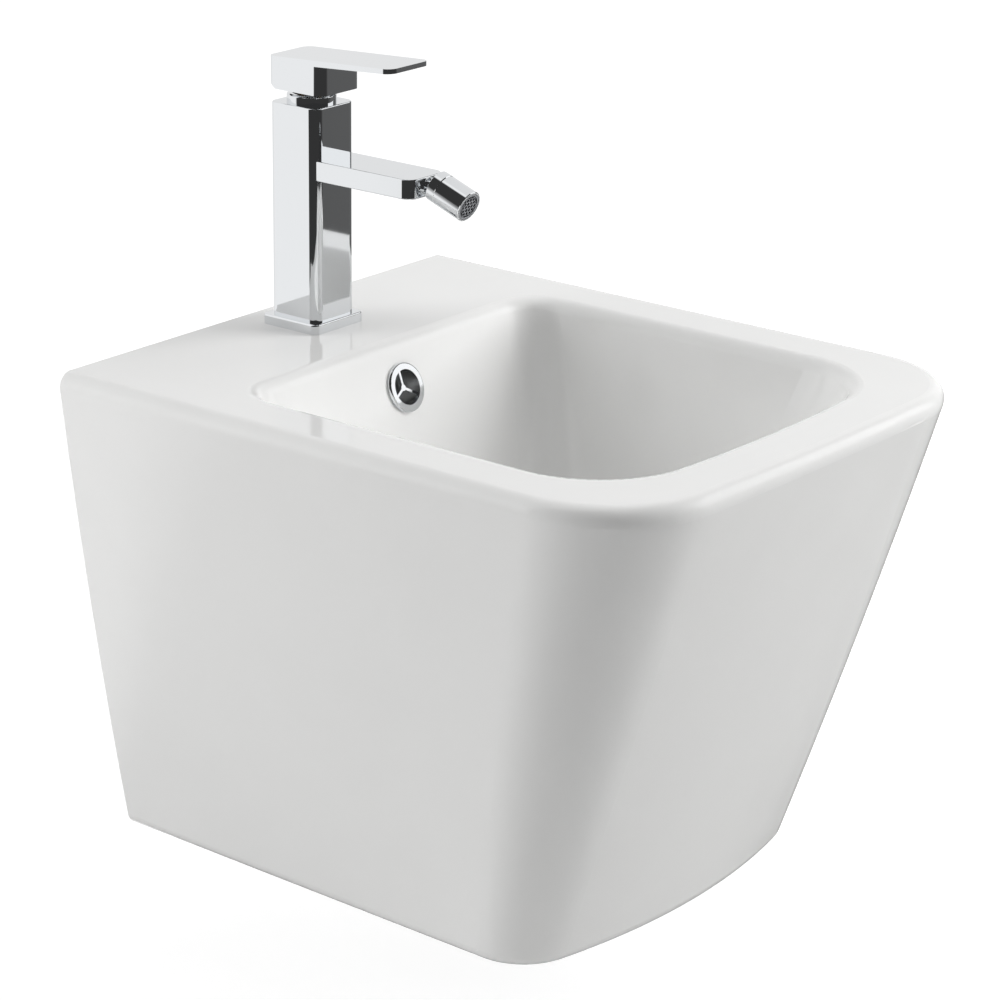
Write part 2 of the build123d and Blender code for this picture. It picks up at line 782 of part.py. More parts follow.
# Handle
back = -tap_setback + handle_back
front = -tap_setback - handle_front
tip = -tap_setback - lever_tip_reach
lever_slope = (lever_tip_top - handle_top) / (back - tip)
root_top = handle_top + lever_slope * (back - front)
with BuildPart() as handle:
    with BuildSketch(Plane.YZ):
        with BuildLine():
            Polyline(
                (back, rim + handle_top),
                (tip, rim + lever_tip_top),
                (tip, rim + lever_tip_top - lever_tip_thickness),
                (front, rim + root_top - lever_root_thickness),
                (front, rim + handle_bottom),
                (back - heel_length, rim + handle_bottom),
                (back, rim + handle_bottom + heel_rise),
                close=True,
            )
        make_face()
    extrude(amount=handle_width / 2, both=True)
    fillet(edges().filter_by(Axis.Z), handle_corner)
    with BuildSketch(deck_plane(handle_bottom)):
        RectangleRounded(handle_pocket_width, handle_pocket_depth, handle_corner - base_edge)
    extrude(amount=handle_pocket_height, mode=Mode.SUBTRACT)
    with BuildSketch(deck_plane(handle_bottom)):
        Rectangle(stem_width + 2 * running_gap, stem_depth + 2 * running_gap)
    extrude(amount=stem_top - handle_bottom + loose_gap, mode=Mode.SUBTRACT)
    with BuildSketch(Plane.XZ.offset(-back)):
        with Locations((0, rim + handle_screw_height)):
            Circle(handle_screw_radius + thread_gap)
    extrude(amount=handle_back - stem_depth / 2, mode=Mode.SUBTRACT)
    with BuildSketch(Plane.XZ.offset(-back)):
        with Locations((0, rim + handle_screw_height)):
            Circle(cap_radius + thread_gap)
    extrude(amount=cap_thickness, mode=Mode.SUBTRACT)
finish(handle, "handle")

screw_point = -tap_setback + stem_depth / 2 + running_gap
with BuildPart() as handle_screw:
    with BuildSketch(Plane.XZ.offset(-screw_point)):
        with Locations((0, rim + handle_screw_height)):
            Circle(handle_screw_radius)
    extrude(amount=-handle_screw_length)
    with BuildSketch(Plane.XZ.offset(-screw_point - handle_screw_length)):
        with Locations((0, rim + handle_screw_height)):
            RegularPolygon(handle_screw_socket / 2, 6, major_radius=False)
    extrude(amount=handle_socket_depth, mode=Mode.SUBTRACT)
finish(handle_screw, "handle_screw")

with BuildPart() as screw_cap:
    with BuildSketch(Plane.XZ.offset(-back)):
        with Locations((0, rim + handle_screw_height)):
            Circle(cap_radius)
    extrude(amount=cap_thickness)
finish(screw_cap, "screw_cap")

# Nozzle: ball on the spout's end, and the housing that swivels on it
ball_centre = Vector(0, spout_end - ball_reach, rim + spout_middle)
nozzle_direction = Vector(0, -cos(radians(nozzle_tilt)), -sin(radians(nozzle_tilt)))
spout_direction = Vector(0, -1, 0)
ball_axis = Axis(ball_centre, spout_direction)
nozzle_axis = Axis(ball_centre, nozzle_direction)
socket_radius = ball_radius + running_gap


def sphere_at(radius, distance):
    """Radius of a sphere's cross-section at a distance from its centre."""
    return sqrt(radius**2 - distance**2)


with BuildPart() as ball_stud:
    with BuildSketch(turning_plane(ball_centre, spout_direction)):
        with BuildLine():
            neck_start = -sphere_at(ball_radius, ball_neck_radius)
            Polyline(
                (0, -ball_reach - ball_thread_length + loose_gap),
                (ball_thread_radius, -ball_reach - ball_thread_length + loose_gap),
                (ball_thread_radius, -ball_reach),
                (ball_shoulder_radius, -ball_reach),
                (ball_shoulder_radius, -ball_reach + ball_shoulder),
                (ball_neck_radius, -ball_reach + ball_shoulder),
                (ball_neck_radius, neck_start),
            )
            ThreePointArc((ball_neck_radius, neck_start), (ball_radius, 0), (0, ball_radius))
            Line((0, ball_radius), (0, -ball_reach - ball_thread_length + loose_gap))
        make_face()
    revolve(axis=ball_axis)
    with BuildSketch(Plane.XZ.offset(-spout_end - ball_reach * 2)):
        with Locations((0, rim + spout_middle)):
            Circle(ball_bore)
    extrude(amount=-(ball_reach * 2 + ball_thread_length), mode=Mode.SUBTRACT)
finish(ball_stud, "ball_stud")

ring_end = nozzle_ring_length - nozzle_tail
ring_lip = -sphere_at(socket_radius, nozzle_ring_catch)
with BuildPart() as nozzle_ring:
    with BuildSketch(turning_plane(ball_centre, nozzle_direction)):
        with BuildLine():
            lip_radius = sphere_at(socket_radius, ring_lip)
            Polyline(
                (lip_radius, ring_lip),
                (nozzle_ring_mouth, -nozzle_tail),
                (nozzle_radius - edge_round / 2, -nozzle_tail),
                (nozzle_radius, -nozzle_tail + edge_round / 2),
                (nozzle_radius, ring_end - nozzle_seam),
                (nozzle_radius - nozzle_seam, ring_end),
                (nozzle_thread_radius, ring_end),
                (nozzle_thread_radius, ring_end - nozzle_thread_depth),
                (socket_radius, ring_end - nozzle_thread_depth),
                (socket_radius, 0),
            )
            RadiusArc((socket_radius, 0), (lip_radius, ring_lip), socket_radius)
        make_face()
    revolve(axis=nozzle_axis)
finish(nozzle_ring, "nozzle_ring")

nozzle_end = nozzle_length - nozzle_tail
shell_start = ring_end - nozzle_thread_depth + loose_gap
seal_end = ball_seal_start + ball_seal_length
aerator_face = nozzle_end - aerator_recess
aerator_back = aerator_face - aerator_length
with BuildPart() as nozzle_shell:
    with BuildSketch(turning_plane(ball_centre, nozzle_direction)):
        with BuildLine():
            Polyline(
                (ball_seal_radius + running_gap, shell_start),
                (nozzle_thread_radius - thread_gap, shell_start),
                (nozzle_thread_radius - thread_gap, ring_end),
                (nozzle_radius - nozzle_seam, ring_end),
                (nozzle_radius, ring_end + nozzle_seam),
                (nozzle_radius, nozzle_end - edge_round / 2),
                (nozzle_radius - edge_round / 2, nozzle_end),
                (aerator_radius + thread_gap, nozzle_end),
                (aerator_radius + thread_gap, aerator_back - aerator_seal_thickness),
                (nozzle_chamber_radius, aerator_back - aerator_seal_thickness),
                (nozzle_chamber_radius, seal_end),
                (ball_seal_radius + running_gap, seal_end),
                close=True,
            )
        make_face()
    revolve(axis=nozzle_axis)
finish(nozzle_shell, "nozzle_shell")

with BuildPart() as ball_seal:
    with BuildSketch(turning_plane(ball_centre, nozzle_direction)):
        with BuildLine():
            near = sphere_at(socket_radius, ball_seal_start)
            far = sphere_at(socket_radius, seal_end)
            Polyline(
                (near, ball_seal_start),
                (ball_seal_radius, ball_seal_start),
                (ball_seal_radius, seal_end),
                (far, seal_end),
            )
            RadiusArc((far, seal_end), (near, ball_seal_start), socket_radius)
        make_face()
    revolve(axis=nozzle_axis)
finish(ball_seal, "ball_seal")

aerator_plane = Plane(origin=ball_centre, x_dir=(1, 0, 0), z_dir=nozzle_direction)
with BuildPart() as aerator:
    with BuildSketch(aerator_plane.offset(aerator_back)):
        Circle(aerator_radius)
    extrude(amount=aerator_length)
    with BuildSketch(aerator_plane.offset(aerator_back)):
        Circle(nozzle_chamber_radius)
    extrude(amount=aerator_length - aerator_plate, mode=Mode.SUBTRACT)
    with BuildSketch(aerator_plane.offset(aerator_back)):
        Circle(jet_radius)
        for turn in range(1, jet_rings + 1):
            with PolarLocations(turn * jet_pitch, jets_per_ring * turn):
                Circle(jet_radius)
    extrude(amount=aerator_length, mode=Mode.SUBTRACT)
finish(aerator, "aerator")

with BuildPart() as aerator_seal:
    with BuildSketch(aerator_plane.offset(aerator_back - aerator_seal_thickness)):
        Circle(aerator_radius - thread_gap)
        Circle(nozzle_chamber_radius + push_gap, mode=Mode.SUBTRACT)
    extrude(amount=aerator_seal_thickness)
finish(aerator_seal, "aerator_seal")

# Waste
flange_under = -waste_seat_drop + waste_gasket_thickness
flange_top = flange_under + waste_flange_thickness
tube_inner = waste_tube_radius - waste_tube_wall
tube_bottom = flange_top - waste_tube_length
tail_bottom = tube_bottom - waste_tail_length
spider_top = flange_top - spider_drop
slot_middle = -duct_run_drop
with BuildPart() as waste_tube:
    with BuildSketch(waste_plane.offset(flange_under)):
        Circle(waste_flange_radius)
    extrude(amount=waste_flange_thickness)
    fillet(edges().filter_by(GeomType.CIRCLE).sort_by(Axis.Z)[-1], waste_flange_thickness / 2)
    with BuildSketch(waste_plane.offset(tube_bottom)):
        Circle(waste_tube_radius)
    extrude(amount=flange_under - tube_bottom)
    with BuildSketch(waste_plane.offset(tail_bottom)):
        Circle(waste_tail_radius)
    extrude(amount=waste_tail_length)
    with BuildSketch(waste_plane.offset(tube_bottom + waste_tube_wall)):
        Circle(tube_inner)
    extrude(amount=waste_tube_length, mode=Mode.SUBTRACT)
    with BuildSketch(waste_plane.offset(tail_bottom)):
        Circle(waste_tail_radius - waste_tail_wall)
    extrude(amount=waste_tail_length + waste_tube_wall, mode=Mode.SUBTRACT)
    with BuildSketch(waste_plane.offset(spider_top - spider_thickness)):
        Circle(spider_hub_radius)
        with PolarLocations(0, spider_arms, start_angle=spider_turn):
            Rectangle(tube_inner + waste_tube_wall / 2, spider_arm, align=(Align.MIN, Align.CENTER))
    extrude(amount=spider_thickness)
    with BuildSketch(waste_plane.offset(spider_top - spider_thickness)):
        Circle(click_radius + thread_gap)
    extrude(amount=spider_thickness, mode=Mode.SUBTRACT)
    with BuildSketch(Plane.XZ.offset(waste_setback)):
        with Locations((0, rim + slot_middle)):
            Rectangle(waste_slot_width, waste_slot_height)
        fillet(vertices(), waste_slot_corner)
    extrude(amount=waste_tube_radius + past, both=True, mode=Mode.SUBTRACT)
finish(waste_tube, "waste_tube")

with BuildPart() as waste_gasket:
    ring(
        waste_flange_radius - push_gap,
        waste_tube_radius + push_gap,
        flange_under - waste_gasket_thickness,
        flange_under,
        waste_plane,
    )
finish(waste_gasket, "waste_gasket")

with BuildPart() as cone_gasket:
    gasket_top = -waste_boss_drop
    turned(
        [
            (waste_tube_radius + push_gap, gasket_top - cone_gasket_height),
            (cone_gasket_radius, gasket_top - cone_gasket_height),
            (cone_gasket_radius, gasket_top - cone_gasket_height / 2),
            (waste_hole_radius + push_gap, gasket_top),
            (waste_tube_radius + push_gap, gasket_top),
        ],
        (0, -waste_setback, rim),
        (0, 0, 1),
    )
finish(cone_gasket, "cone_gasket")

with BuildPart() as waste_nut:
    nut_bottom = gasket_top - cone_gasket_height - waste_nut_height
    with BuildSketch(waste_plane.offset(nut_bottom)):
        Circle(waste_nut_radius)
        with PolarLocations(waste_nut_radius, waste_nut_lugs):
            Circle(waste_nut_notch, mode=Mode.SUBTRACT)
        Circle(waste_tube_radius + thread_gap, mode=Mode.SUBTRACT)
    extrude(amount=waste_nut_height)
    with BuildSketch(waste_plane.offset(nut_bottom + waste_nut_height - waste_nut_rim)):
        Circle(waste_nut_radius)
        Circle(waste_tube_radius + thread_gap, mode=Mode.SUBTRACT)
    extrude(amount=waste_nut_rim)
finish(waste_nut, "waste_nut")

# Click mechanism and plug
click_top = spider_top + click_flange
with BuildPart() as click_cartridge:
    with BuildSketch(waste_plane.offset(click_top - click_length)):
        Circle(click_radius)
    extrude(amount=click_length)
    with BuildSketch(waste_plane.offset(spider_top)):
        Circle(spider_hub_radius)
    extrude(amount=click_flange)
    with BuildSketch(waste_plane.offset(click_top)):
        Circle(plug_stem_radius + running_gap)
    extrude(amount=-(click_length - click_flange), mode=Mode.SUBTRACT)
finish(click_cartridge, "click_cartridge")

plug_under = flange_top + loose_gap
stem_bottom = plug_under - spider_drop - plug_stem_length + click_flange
with BuildPart() as waste_plug:
    with BuildSketch(waste_plane.offset(plug_under)):
        Circle(plug_radius)
    extrude(amount=plug_thickness)
    fillet(edges().filter_by(GeomType.CIRCLE).sort_by(Axis.Z)[-1], plug_crown)
    with BuildSketch(waste_plane.offset(plug_under)):
        Circle(plug_seal_inner + plug_seal_width)
        Circle(plug_seal_inner, mode=Mode.SUBTRACT)
    extrude(amount=plug_seal_groove, mode=Mode.SUBTRACT)
    with BuildSketch(waste_plane.offset(stem_bottom)):
        Circle(plug_stem_radius)
    extrude(amount=plug_under - stem_bottom)
finish(waste_plug, "waste_plug")

with BuildPart() as plug_seal:
    ring(
        plug_seal_inner + plug_seal_width - push_gap,
        plug_seal_inner + push_gap,
        flange_top + running_gap,
        plug_under + plug_seal_groove,
        waste_plane,
    )
finish(plug_seal, "plug_seal")

# Wall sleeves
sleeve_radius = bolt_hole_radius - push_gap
with BuildPart() as wall_sleeves:
    with BuildSketch(wall_plane):
        with GridLocations(bolt_spacing, 0, 2, 1):
            Circle(sleeve_radius)
    extrude(amount=bolt_boss_length)
    with BuildSketch(wall_plane.offset(bolt_boss_length)):
        with GridLocations(bolt_spacing, 0, 2, 1):
            Circle(sleeve_flange_radius)
    extrude(amount=sleeve_flange)
    with BuildSketch(wall_plane):
        with GridLocations(bolt_spacing, 0, 2, 1):
            Circle(sleeve_bore)
    extrude(amount=bolt_boss_length + sleeve_flange, mode=Mode.SUBTRACT)
finish(wall_sleeves, "wall_sleeves")
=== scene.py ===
import json
from math import cos, radians, sin, sqrt

import bpy
from bpy.props import FloatProperty, FloatVectorProperty, PointerProperty
from bpy.types import Operator, Panel, PropertyGroup
from mathutils import Matrix, Vector


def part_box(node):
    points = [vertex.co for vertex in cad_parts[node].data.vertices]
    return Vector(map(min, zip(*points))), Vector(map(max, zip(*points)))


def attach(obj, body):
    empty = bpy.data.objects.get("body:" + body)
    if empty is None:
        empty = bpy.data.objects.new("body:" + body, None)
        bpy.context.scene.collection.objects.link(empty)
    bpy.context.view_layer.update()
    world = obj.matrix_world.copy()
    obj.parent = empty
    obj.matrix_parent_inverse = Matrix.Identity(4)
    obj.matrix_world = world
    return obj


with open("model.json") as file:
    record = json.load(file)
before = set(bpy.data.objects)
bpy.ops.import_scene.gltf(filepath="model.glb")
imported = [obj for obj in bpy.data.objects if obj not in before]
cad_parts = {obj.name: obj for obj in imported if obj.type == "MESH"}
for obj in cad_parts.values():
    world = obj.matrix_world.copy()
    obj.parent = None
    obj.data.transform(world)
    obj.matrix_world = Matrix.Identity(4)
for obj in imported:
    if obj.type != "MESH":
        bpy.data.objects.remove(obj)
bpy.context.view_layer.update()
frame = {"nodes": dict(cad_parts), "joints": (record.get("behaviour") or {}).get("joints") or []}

# Finishes, fine pieces, camera and studio of a wall-hung bidet with a single-lever mixer. Metres.
# The wall is the plane y = 0, the bowl comes forward along -Y, and +Z is up.

bl_info = {
    "name": "Wall-hung bidet",
    "version": (1, 0, 0),
    "blender": (4, 5, 0),
    "location": "View3D > Sidebar > Bidet",
    "description": "Finishes, fine pieces, camera and studio of a wall-hung bidet",
    "category": "Object",
}

MM = 0.001
WHITE = (1.0, 1.0, 1.0, 1.0)
RIM_SIDES = 64
WELD = 0.02 * MM
SMOOTH_BELOW = radians(30)
SENSOR = 36.0
CLIP = (0.05, 60.0)
# Round the object, as shares of a turn from its left by the front and the right to the back: where
# the dark room ends and the grey room is full, where the grey room ends and the right sweep is full,
# and where the right sweep ends, the left sweep is full and ends, and the dark room begins again.
DARK_END, GREY_FULL, GREY_END, RIGHT_FULL = 0.33, 0.39, 0.50, 0.54
RIGHT_END, LEFT_FULL, LEFT_END, DARK_AGAIN = 0.70, 0.82, 0.898, 0.915


def linear(code):
    """Linear colour with alpha from an sRGB hex value such as F2F2F0."""
    channels = []
    for start in (0, 2, 4):
        share = int(code[start:start + 2], 16) / 255
        channels.append(share / 12.92 if share <= 0.04045 else ((share + 0.055) / 1.055) ** 2.4)
    return (*channels, 1.0)


def colour(name, description, code):
    """Colour setting with a default given as sRGB hex."""
    return FloatVectorProperty(
        name=name, description=description, subtype="COLOR", size=4, min=0.0, max=1.0, default=linear(code)
    )


def length(name, description, metres):
    """Length setting in metres."""
    return FloatProperty(name=name, description=description, unit="LENGTH", default=metres)


def angle(name, description, degrees):
    """Angle setting with a default given in degrees."""
    return FloatProperty(name=name, description=description, subtype="ANGLE", default=radians(degrees))


def strength(name, description, value):
    """Brightness setting."""
    return FloatProperty(name=name, description=description, min=0.0, default=value)


def point(name, description, place):
    """Point setting in metres."""
    return FloatVectorProperty(
        name=name, description=description, subtype="XYZ", unit="LENGTH", default=place
    )


class BidetFinishes(PropertyGroup):
    """Colours of the glaze, the plating, the metals, the rubber and the plastics."""

    glaze: colour("Glaze", "Fired glaze where it lies thick", "F1F1F0")
    glaze_thin: colour("Thin glaze", "Fired glaze where it drains off and thins", "F0F0EF")
    chrome: colour("Chrome", "Bright chrome plate", "E4E6E8")
    zinc: colour("Zinc", "Zinc-plated steel", "B9BDC0")
    brass: colour("Brass", "Turned brass", "D3B06A")
    rubber: colour("Rubber", "Black nitrile rubber", "141414")
    rubber_bloom: colour("Rubber bloom", "Rubber under its talc bloom", "2C2C2B")
    white_acetal: colour("White acetal", "White moulded acetal", "ECEBE6")
    dark_acetal: colour("Dark acetal", "Dark grey moulded acetal", "2A2B2D")
    screen: colour("Jet screen", "Grey moulded screen of the nozzle", "9A9CA0")
    alumina: colour("Alumina", "Lapped alumina discs", "EFEBE2")


class BidetDetails(PropertyGroup):
    """Sizes of the fine pieces and patterns."""

    pipe_pitch: length("Pipe thread", "Thread pitch of the waste", 2.309 * MM)
    stud_pitch: length("Stud thread", "Thread pitch of the fixing stud", 1.25 * MM)
    thread_past_nut: length("Thread past nut", "Waste thread that shows below its nut", 6.0 * MM)
    plain_below_flange: length("Plain below flange", "Waste tube without thread at its top", 3.0 * MM)
    screen_radius: length("Screen radius", "Radius of the nozzle's screen", 8.4 * MM)
    screen_rim: length("Screen rim", "Plain rim round the screen's cells", 1.0 * MM)
    screen_depth: length("Screen depth", "Thickness of the screen", 0.4 * MM)
    cell_pitch: length("Cell pitch", "Spacing of the screen's cells", 2.7 * MM)
    cell_wall: length("Cell wall", "Wall between two cells", 0.6 * MM)
    screen_reach: length("Screen reach", "From the ball's centre to the screen's back", 21.52 * MM)
    nozzle_lean: angle("Nozzle lean", "How far the nozzle points down at rest", 20.0)


class BidetStudio(PropertyGroup):
    """Camera, lamps and surroundings."""

    azimuth: angle("Azimuth", "Camera's place round the object", -51.768)
    elevation: angle("Elevation", "Camera's height above the level", 19.227)
    roll: angle("Roll", "Camera's turn about its own line of sight", 0.716)
    distance: length("Distance", "From the camera to the point it looks at", 2.06725)
    target: point("Target", "Point that the camera looks at", (-0.072143, -0.250, 0.027582))
    lens: FloatProperty(name="Lens", description="Focal length on a 36 mm sensor", default=127.575)
    floor_height: length("Floor", "Height of the floor, with the rim 0.4 m above it", -0.32)
    floor_size: length("Floor size", "Width of the floor", 16.0)
    floor_colour: colour("Floor colour", "Pale floor", "F4F4F4")
    shadow_reach: length("Shadow reach", "Radius of the floor that is dimmed to keep the shadow", 0.3)
    white_reach: length("White reach", "Radius from which the floor is white", 2.0)
    shadow_glow: strength("Shadow glow", "Brightness of the dimmed floor before the lamps", 0.87)
    shadow_paint: strength("Shadow paint", "Share of the lamps' light that the floor shows", 0.25)
    ambient: strength("Ambient", "Light from all round", 0.205)
    lamp_aim: point("Lamp aim", "Point that the lamps face", (0.0, -0.2, -0.05))
    left_place: point("Left lamp place", "Place of the soft lamp on the left", (-1.5, 1.6, 0.6))
    left_power: strength("Left lamp", "Power of the soft lamp on the left", 35.0)
    front_place: point("Front lamp place", "Place of the lamp on the right of the front", (1.6, -1.5, 1.05))
    front_power: strength("Front lamp", "Power of the soft lamp on the right of the front", 43.0)
    side_size: length("Side lamps", "Width of the left and the front lamp", 1.4)
    top_place: point("Top lamp place", "Place of the soft lamp overhead", (0.1, -0.2, 2.0))
    top_power: strength("Top lamp", "Power of the soft lamp overhead", 13.0)
    top_size: length("Top lamp size", "Width of the top lamp", 1.8)
    card_aim: point("Card aim", "Point that the soft card faces", (0.0, -0.2, 0.1))
    card_level: strength("Soft card", "Brightness of the front lamp in a mirror surface", 1.2)
    dark_room: strength("Dark room", "Brightness of the room in front, in a mirror surface", 0.04)
    grey_room: strength("Grey room", "Brightness of the room on the right, in a mirror surface", 0.13)
    sweep_left: strength("Left sweep", "Brightness of the sweep on the left, in a mirror surface", 1.03)
    sweep_right: strength("Right sweep", "Brightness of the sweep on the right, in a mirror surface", 0.88)


def node(tree, kind, inputs=None, links=None, **settings):
    """One shader node, with its settings, its plain inputs and the sockets that feed it."""
    made = tree.nodes.new(kind)
    for name, value in settings.items():
        setattr(made, name, value)
    for name, value in (inputs or {}).items():
        made.inputs[name].default_value = value
    for name, socket in (links or {}).items():
        tree.links.new(socket, made.inputs[name])
    return made


def new_material(name):
    """Empty material with its node tree."""
    made = bpy.data.materials.new(name)
    made.use_nodes = True
    made.node_tree.nodes.clear()
    return made, made.node_tree


def surface(tree, shader):
    """Send a shader to the material's output."""
    node(tree, "ShaderNodeOutputMaterial", links={"Surface": shader})


def dress(names, finish):
    """Give a finish to all the material slots of some CAD nodes."""
    for name in names:
        mesh = frame["nodes"][name].data
        for index in range(len(mesh.materials)):
            mesh.materials[index] = finish


def ramp(tree, factor, *stops):
    """Colour that follows stops of position and colour along a factor."""
    made = node(tree, "ShaderNodeValToRGB", links={"Fac": factor})
    marks = made.color_ramp.elements
    while len(marks) < len(stops):
        marks.new(1.0)
    for mark, (position, shade) in zip(marks, stops):
        mark.position = position
        mark.color = shade
    return made.outputs["Color"]


def thread_height(tree, place, pitch):
    """Height of a thread's ridges along Z, repeated at its pitch."""
    axis = node(tree, "ShaderNodeSeparateXYZ", links={"Vector": place})
    turns = node(tree, "ShaderNodeMath", {1: 2 / pitch}, {0: axis.outputs["Z"]}, operation="MULTIPLY")
    ridge = node(tree, "ShaderNodeMath", {1: 1.0}, {0: turns.outputs["Value"]}, operation="PINGPONG")
    return ridge.outputs["Value"]


# Vitreous china under a clear fired glaze: a faintly cool white with a glassy skin, whose very low
# waves bend the reflections of long edges.
def fired_glaze(look):
    pool, low_wave, rise = 60 * MM, 30 * MM, 0.1 * MM
    finish, tree = new_material("fired_glaze")
    place = node(tree, "ShaderNodeTexCoord").outputs["Object"]
    pooling = node(tree, "ShaderNodeTexNoise", {"Scale": 1 / pool, "Detail": 2.0}, {"Vector": place})
    tint = ramp(tree, pooling.outputs["Fac"], (0.35, look.glaze_thin), (0.65, look.glaze))
    wave = node(tree, "ShaderNodeTexNoise", {"Scale": 1 / low_wave, "Detail": 1.0}, {"Vector": place})
    skin = node(tree, "ShaderNodeBump", {"Strength": 0.15, "Distance": rise}, {"Height": wave.outputs["Fac"]})
    shader = node(tree, "ShaderNodeBsdfPrincipled", {"Roughness": 0.09, "IOR": 1.5},
                  {"Base Color": tint, "Normal": skin.outputs["Normal"]})
    surface(tree, shader.outputs["BSDF"])
    return finish


# Bright chrome plate over polished brass: a mirror with a cool cast, its polish slightly uneven
# from the buffing wheel.
def bright_chrome(look):
    wheel_mark = 9 * MM
    finish, tree = new_material("bright_chrome")
    place = node(tree, "ShaderNodeTexCoord").outputs["Object"]
    buffing = node(tree, "ShaderNodeTexNoise", {"Scale": 1 / wheel_mark, "Detail": 3.0}, {"Vector": place})
    polish = node(tree, "ShaderNodeMapRange", {"To Min": 0.03, "To Max": 0.06},
                  {"Value": buffing.outputs["Fac"]})
    shader = node(tree, "ShaderNodeBsdfPrincipled", {"Base Color": look.chrome, "Metallic": 1.0},
                  {"Roughness": polish.outputs["Result"]})
    surface(tree, shader.outputs["BSDF"])
    return finish


# Chrome on a turned brass tube: duller than the tap, with the ridges of the pipe thread.
def threaded_chrome(look, details):
    ridge_height = 0.7 * MM
    finish, tree = new_material("threaded_chrome")
    place = node(tree, "ShaderNodeTexCoord").outputs["Object"]
    _, tube_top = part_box("waste_tube")
    nut_bottom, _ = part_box("waste_nut")
    thread_top = tube_top.z - details.plain_below_flange
    thread_bottom = nut_bottom.z - details.thread_past_nut
    middle, half = (thread_top + thread_bottom) / 2, (thread_top - thread_bottom) / 2
    axis = node(tree, "ShaderNodeSeparateXYZ", links={"Vector": place})
    zone = node(tree, "ShaderNodeMath", {1: middle, 2: half}, {0: axis.outputs["Z"]}, operation="COMPARE")
    ridge = node(tree, "ShaderNodeMath",
                 links={0: thread_height(tree, place, details.pipe_pitch), 1: zone.outputs["Value"]},
                 operation="MULTIPLY")
    cut = node(tree, "ShaderNodeBump", {"Strength": 1.0, "Distance": ridge_height},
               {"Height": ridge.outputs["Value"]})
    shader = node(tree, "ShaderNodeBsdfPrincipled",
                  {"Base Color": look.chrome, "Metallic": 1.0, "Roughness": 0.16},
                  {"Normal": cut.outputs["Normal"]})
    surface(tree, shader.outputs["BSDF"])
    return finish


# Zinc-plated steel, passivated: a pale, slightly blue grey that is soft to the eye and faintly mottled.
def zinc_plate(look):
    mottle_size = 3 * MM
    finish, tree = new_material("zinc_plate")
    place = node(tree, "ShaderNodeTexCoord").outputs["Object"]
    mottle = node(tree, "ShaderNodeTexNoise", {"Scale": 1 / mottle_size, "Detail": 4.0}, {"Vector": place})
    dull = node(tree, "ShaderNodeMapRange", {"To Min": 0.28, "To Max": 0.46},
                {"Value": mottle.outputs["Fac"]})
    shader = node(tree, "ShaderNodeBsdfPrincipled", {"Base Color": look.zinc, "Metallic": 1.0},
                  {"Roughness": dull.outputs["Result"]})
    surface(tree, shader.outputs["BSDF"])
    return finish


# The same zinc plate over a rolled thread, whose ridges catch the light in fine bands.
def rolled_thread(look, pitch):
    ridge_height = 0.5 * MM
    finish, tree = new_material("rolled_thread")
    place = node(tree, "ShaderNodeTexCoord").outputs["Object"]
    cut = node(tree, "ShaderNodeBump", {"Strength": 1.0, "Distance": ridge_height},
               {"Height": thread_height(tree, place, pitch)})
    shader = node(tree, "ShaderNodeBsdfPrincipled",
                  {"Base Color": look.zinc, "Metallic": 1.0, "Roughness": 0.32},
                  {"Normal": cut.outputs["Normal"]})
    surface(tree, shader.outputs["BSDF"])
    return finish


# Brass as it comes from the lathe: warm, bright, with fine tool lines that are drawn coarser than
# the real 0.1 mm so that they show.
def turned_brass(look):
    tool_pitch, tool_depth = 0.3 * MM, 0.05 * MM
    finish, tree = new_material("turned_brass")
    place = node(tree, "ShaderNodeTexCoord").outputs["Object"]
    cut = node(tree, "ShaderNodeBump", {"Strength": 0.25, "Distance": tool_depth},
               {"Height": thread_height(tree, place, tool_pitch)})
    shader = node(tree, "ShaderNodeBsdfPrincipled",
                  {"Base Color": look.brass, "Metallic": 1.0, "Roughness": 0.24},
                  {"Normal": cut.outputs["Normal"]})
    surface(tree, shader.outputs["BSDF"])
    return finish


# Moulded nitrile rubber: near black and dull, greyed in patches by its talc bloom.
def moulded_rubber(look):
    patch = 4 * MM
    finish, tree = new_material("moulded_rubber")
    place = node(tree, "ShaderNodeTexCoord").outputs["Object"]
    bloom = node(tree, "ShaderNodeTexNoise", {"Scale": 1 / patch, "Detail": 4.0}, {"Vector": place})
    tint = ramp(tree, bloom.outputs["Fac"], (0.4, look.rubber), (0.75, look.rubber_bloom))
    shader = node(tree, "ShaderNodeBsdfPrincipled", {"Roughness": 0.62, "IOR": 1.52}, {"Base Color": tint})
    surface(tree, shader.outputs["BSDF"])
    return finish


# Moulded acetal: slightly waxy, with the faint grain of a spark-eroded mould.
def moulded_acetal(name, shade, roughness):
    grain_size, grain_depth = 0.8 * MM, 0.02 * MM
    finish, tree = new_material(name)
    place = node(tree, "ShaderNodeTexCoord").outputs["Object"]
    grain = node(tree, "ShaderNodeTexNoise", {"Scale": 1 / grain_size, "Detail": 2.0}, {"Vector": place})
    skin = node(tree, "ShaderNodeBump", {"Strength": 0.2, "Distance": grain_depth},
                {"Height": grain.outputs["Fac"]})
    shader = node(tree, "ShaderNodeBsdfPrincipled",
                  {"Base Color": shade, "Roughness": roughness, "IOR": 1.48},
                  {"Normal": skin.outputs["Normal"]})
    surface(tree, shader.outputs["BSDF"])
    return finish


